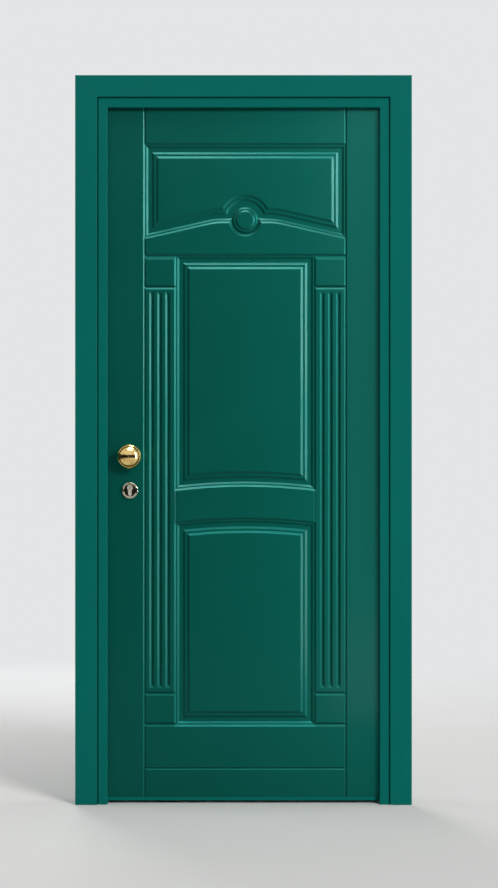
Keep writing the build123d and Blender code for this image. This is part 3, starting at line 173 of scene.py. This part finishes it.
# Materials
class Finish:
    """A material with a Principled shader, built up node by node."""

    def __init__(self, name):
        self.material = bpy.data.materials.new(name)
        self.material.use_nodes = True
        self.nodes = self.material.node_tree.nodes
        self.links = self.material.node_tree.links
        self.shader = self.nodes["Principled BSDF"]
        self.place = self.nodes.new("ShaderNodeTexCoord").outputs["Object"]

    def set(self, **values):
        """Constant values on the shader's own sockets."""
        for name, value in values.items():
            self.shader.inputs[name.replace("_", " ")].default_value = value

    def stretched(self, scale):
        """Object coordinates stretched along the axes."""
        mapping = self.nodes.new("ShaderNodeMapping")
        mapping.inputs["Scale"].default_value = scale
        self.links.new(self.place, mapping.inputs["Vector"])
        return mapping.outputs["Vector"]

    def noise(self, scale, detail=2.0, roughness=0.5, place=None):
        texture = self.nodes.new("ShaderNodeTexNoise")
        texture.inputs["Scale"].default_value = scale
        texture.inputs["Detail"].default_value = detail
        texture.inputs["Roughness"].default_value = roughness
        self.links.new(place or self.place, texture.inputs["Vector"])
        return texture.outputs["Fac"]

    def cells(self, scale):
        texture = self.nodes.new("ShaderNodeTexVoronoi")
        texture.inputs["Scale"].default_value = scale
        self.links.new(self.place, texture.inputs["Vector"])
        return texture.outputs["Color"]

    def span(self, value, low, high, start=noise_low, end=noise_high):
        """A value spread between two numbers."""
        remap = self.nodes.new("ShaderNodeMapRange")
        remap.inputs["From Min"].default_value = start
        remap.inputs["From Max"].default_value = end
        remap.inputs["To Min"].default_value = low
        remap.inputs["To Max"].default_value = high
        self.links.new(value, remap.inputs["Value"])
        return remap.outputs["Result"]

    def blend(self, value, first, second):
        """A colour between two, by a value."""
        mix = self.nodes.new("ShaderNodeMix")
        mix.data_type = "RGBA"
        mix.inputs["A"].default_value = first
        mix.inputs["B"].default_value = second
        self.links.new(value, mix.inputs["Factor"])
        return mix.outputs["Result"]

    def color(self, output):
        self.links.new(output, self.shader.inputs["Base Color"])

    def roughness(self, output):
        self.links.new(output, self.shader.inputs["Roughness"])

    def bump(self, output, height):
        bump = self.nodes.new("ShaderNodeBump")
        bump.inputs["Distance"].default_value = height
        bump.inputs["Strength"].default_value = 1.0
        self.links.new(output, bump.inputs["Height"])
        self.links.new(bump.outputs["Normal"], self.shader.inputs["Normal"])


def tinted(color, factor):
    """A colour made darker or lighter."""
    return tuple(channel * factor for channel in color[:3]) + (1.0,)


def clouded(finish, color):
    """Faint clouds in a coat of paint."""
    clouds = finish.span(finish.noise(paint_cloud_scale), 0.0, 1.0)
    dark = tinted(color, 1 - paint_cloud_shift)
    bright = tinted(color, 1 + paint_cloud_shift)
    finish.color(finish.blend(clouds, dark, bright))


def satin_lacquer(name, color, roughness):
    """Sprayed satin lacquer: a tinted body under a thin clear coat, with faint clouds and orange peel."""
    finish = Finish(name)
    clouded(finish, color)
    patches = finish.noise(lacquer_gloss_scale, detail=1.0)
    finish.roughness(finish.span(patches, roughness - lacquer_gloss_shift, roughness + lacquer_gloss_shift))
    finish.set(Specular_Tint=sheen_teal, Coat_Weight=lacquer_coat, Coat_Roughness=lacquer_coat_roughness)
    finish.bump(finish.noise(orange_peel_scale, detail=1.0), orange_peel_height)
    return finish


def powder_coat(name, roughness, grain_height):
    """Matt stoved powder coat: a dull even skin with a fine grain."""
    finish = Finish(name)
    clouded(finish, frame_teal)
    patches = finish.noise(powder_gloss_scale)
    finish.roughness(finish.span(patches, roughness - powder_gloss_shift, roughness + powder_gloss_shift))
    finish.set(Specular_IOR_Level=powder_specular)
    finish.bump(finish.noise(powder_grain_scale), grain_height)
    return finish


def brass(name):
    """Polished brass with hairlines and a trace of tarnish."""
    finish = Finish(name)
    finish.set(Metallic=1.0)
    tarnish = finish.span(finish.noise(tarnish_scale, detail=5.0), 0.0, 1.0, tarnish_start, tarnish_end)
    finish.color(finish.blend(tarnish, brass_bright, brass_tarnished))
    finish.roughness(finish.span(finish.noise(hairline_scale, detail=4.0), *brass_roughness))
    finish.bump(finish.noise(brass_wave_scale), brass_wave_height)
    return finish


def brushed_steel(name, color, along):
    """Steel with brushed lines, which run along the axes of the small scales."""
    finish = Finish(name)
    finish.set(Metallic=1.0)
    lines = finish.noise(1.0, detail=3.0, place=finish.stretched(along))
    finish.color(finish.blend(lines, tinted(color, brushed_dark), tinted(color, brushed_bright)))
    finish.roughness(finish.span(lines, *brushed_roughness))
    finish.bump(lines, brushed_height)
    return finish


def nickel(name, roughness):
    """Warm nickel plate, polished or finely blasted."""
    finish = Finish(name)
    finish.set(Metallic=1.0)
    finish.color(finish.blend(finish.noise(nickel_cloud_scale, detail=3.0), nickel_dark, nickel_bright))
    patches = finish.noise(nickel_gloss_scale)
    finish.roughness(finish.span(patches, roughness - nickel_gloss_shift, roughness + nickel_gloss_shift))
    return finish


def galvanised(name):
    """Zinc coated sheet with its spangle."""
    finish = Finish(name)
    finish.set(Metallic=1.0)
    spangle = finish.span(finish.cells(spangle_scale), 0.0, 1.0, 0.0, 1.0)
    finish.color(finish.blend(spangle, zinc_dark, zinc_bright))
    finish.roughness(finish.span(finish.noise(zinc_gloss_scale), *zinc_roughness))
    return finish


def rubber(name):
    """Black rubber with a dusty bloom."""
    finish = Finish(name)
    bloom = finish.noise(bloom_scale, detail=5.0)
    finish.color(finish.blend(bloom, rubber_black, rubber_bloom))
    finish.roughness(finish.span(bloom, *rubber_roughness))
    finish.bump(finish.noise(rubber_grain_scale), rubber_grain_height)
    return finish


def wool(name):
    """Mineral wool: matted fibre."""
    finish = Finish(name)
    fibre = finish.noise(1.0, detail=6.0, roughness=wool_tangle, place=finish.stretched(wool_stretch))
    finish.color(finish.blend(fibre, wool_dark, wool_bright))
    finish.set(Roughness=wool_roughness)
    finish.bump(fibre, wool_height)
    return finish


# By the record's material slots
finishes = {
    "panel_lacquer": satin_lacquer("leaf_satin_lacquer", leaf_teal, leaf_roughness),
    # The inner face's lacquer is lighter as painted light, in place of the sheen lamps that reach only the
    # outer panel.
    "inner_lacquer": satin_lacquer("inner_satin_lacquer_painted_light", inner_teal_painted_light, inner_roughness),
    "edge_lacquer": powder_coat("edge_powder_coat", edge_roughness, steel_grain_height),
    "frame_lacquer": powder_coat("frame_powder_coat", frame_roughness, steel_grain_height),
    "casing_lacquer": powder_coat("casing_matt_lacquer", casing_roughness, board_grain_height),
    "shell_steel": galvanised("galvanised_sheet"),
    "lock_steel": brushed_steel("nickel_plate", lock_grey, brushed_across_z),
    "hinge_steel": brushed_steel("satin_steel", hinge_grey, brushed_along_z),
    "screw_steel": brushed_steel("zinc_plate", screw_grey, brushed_evenly),
    "knob_brass": brass("polished_brass"),
    "handle_brass": brass("handle_brass"),
    "washer_brass": brass("washer_brass"),
    "seal_rubber": rubber("seal_rubber"),
    "mineral_wool": wool("mineral_wool"),
}

# Pieces that look unlike the rest of their slot
satin_nickel = nickel("satin_nickel", satin_roughness)
own_finishes = {
    "cylinder_guard": nickel("polished_nickel", polished_roughness),
    "cylinder_body": satin_nickel,
    "cylinder_plug": satin_nickel,
}

for part in frame["record"]["subparts"]:
    mesh = nodes[part["node"]].data
    finish = own_finishes.get(part["node"], finishes[part["material_slot"]])
    mesh.materials.clear()
    mesh.materials.append(finish.material)


# Stage
def stage_piece(name, mesh, finish):
    piece = bpy.data.objects.new(name, mesh)
    bpy.context.scene.collection.objects.link(piece)
    mesh.materials.append(finish.material)
    return piece


def floor_finish():
    """Pale matt floor, see-through towards its rim."""
    finish = Finish("floor")
    patches = finish.noise(floor_patch_scale, detail=3.0)
    dark = tinted(floor_color, 1 - floor_patch_shift)
    bright = tinted(floor_color, 1 + floor_patch_shift)
    finish.color(finish.blend(patches, dark, bright))
    finish.set(Roughness=floor_roughness, Specular_IOR_Level=floor_specular)
    distance = finish.nodes.new("ShaderNodeVectorMath")
    distance.operation = "LENGTH"
    finish.links.new(finish.place, distance.inputs["Vector"])
    cover = finish.span(distance.outputs["Value"], 1.0, 0.0, floor_fade_start, floor_radius)
    finish.links.new(cover, finish.shader.inputs["Alpha"])
    return finish


floor_mesh = bpy.data.meshes.new("floor")
floor_turns = [radians(angle) for angle in range(0, 360, arc_step)]
floor_rim = [(floor_radius * cos(turn), floor_radius * sin(turn), 0.0) for turn in floor_turns]
floor_mesh.from_pydata(floor_rim, [], [range(len(floor_rim))])
floor = stage_piece("floor", floor_mesh, floor_finish())
floor.location = (0.0, floor_middle_y, -floor_drop)

curtain_mesh = bpy.data.meshes.new("curtain")
curtain_turns = [radians(angle) for angle in range(curtain_start, curtain_end + arc_step, arc_step)]
curtain_line = [(curtain_radius * sin(turn), -curtain_radius * cos(turn)) for turn in curtain_turns]
curtain_foot = [(x, y, curtain_low) for x, y in curtain_line]
curtain_head = [(x, y, curtain_high) for x, y in curtain_line]
columns = len(curtain_line)
curtain_faces = [(i, i + 1, columns + i + 1, columns + i) for i in range(columns - 1)]
curtain_mesh.from_pydata(curtain_foot + curtain_head, [], curtain_faces)
curtain_finish = Finish("curtain")
curtain_finish.set(Base_Color=curtain_color, Roughness=1.0, Specular_IOR_Level=0.0)
curtain = stage_piece("curtain", curtain_mesh, curtain_finish)
curtain.visible_camera = False


# Lights
def softbox(name, place, width, height, power, reach):
    """An area lamp that looks at the middle of the door and isn't seen itself."""
    data = bpy.data.lights.new(name, "AREA")
    data.shape = "RECTANGLE"
    data.size = width
    data.size_y = height
    data.energy = power
    lamp = bpy.data.objects.new(name, data)
    bpy.context.scene.collection.objects.link(lamp)
    lamp.location = place
    lamp.rotation_euler = (door_middle - Vector(place)).to_track_quat("-Z", "Y").to_euler()
    lamp.visible_camera = False
    lamp.visible_diffuse = reach == matt
    lamp.visible_glossy = reach == gloss
    return lamp


boxes = {name: softbox(name, *values) for name, values in lamps.items()}

sheen_receivers = bpy.data.collections.new("sheen_pieces")
for name in sheen_pieces:
    sheen_receivers.objects.link(nodes[name])
for name in sheen_lamps:
    boxes[name].light_linking.receiver_collection = sheen_receivers


def studio_world():
    """Pale where it is seen straight or mirrored, dim as a light."""
    world = bpy.data.worlds.new("studio")
    world.use_nodes = True
    tree = world.node_tree
    background = tree.nodes["Background"]
    background.inputs["Color"].default_value = world_color
    path = tree.nodes.new("ShaderNodeLightPath")
    seen = path.outputs["Is Camera Ray"]
    for ray in ("Is Glossy Ray", "Is Transmission Ray"):
        larger = tree.nodes.new("ShaderNodeMath")
        larger.operation = "MAXIMUM"
        tree.links.new(seen, larger.inputs[0])
        tree.links.new(path.outputs[ray], larger.inputs[1])
        seen = larger.outputs["Value"]
    level = tree.nodes.new("ShaderNodeMapRange")
    level.inputs["To Min"].default_value = world_dim
    level.inputs["To Max"].default_value = world_pale
    tree.links.new(seen, level.inputs["Value"])
    tree.links.new(level.outputs["Result"], background.inputs["Strength"])
    return world


bpy.context.scene.world = studio_world()

# Camera, square to the door
metres_per_px = opening_width / (opening_right_px - opening_left_px)
rise_per_px = opening_height / (floor_px - opening_top_px)
view_height = image_height_px * rise_per_px
camera_x = (image_width_px / 2 - (opening_left_px + opening_right_px) / 2) * metres_per_px
camera_z = (floor_px - image_height_px / 2) * rise_per_px
camera_data = bpy.data.cameras.new("camera")
camera_data.sensor_width = sensor_width_mm
camera_data.angle = 2 * atan(view_height / 2 / camera_distance)
camera = bpy.data.objects.new("camera", camera_data)
bpy.context.scene.collection.objects.link(camera)
camera.location = (camera_x, face_y - camera_distance, camera_z)
camera.rotation_euler = (radians(90), 0.0, 0.0)
bpy.context.scene.camera = camera

bpy.context.scene.view_settings.view_transform = "Standard"
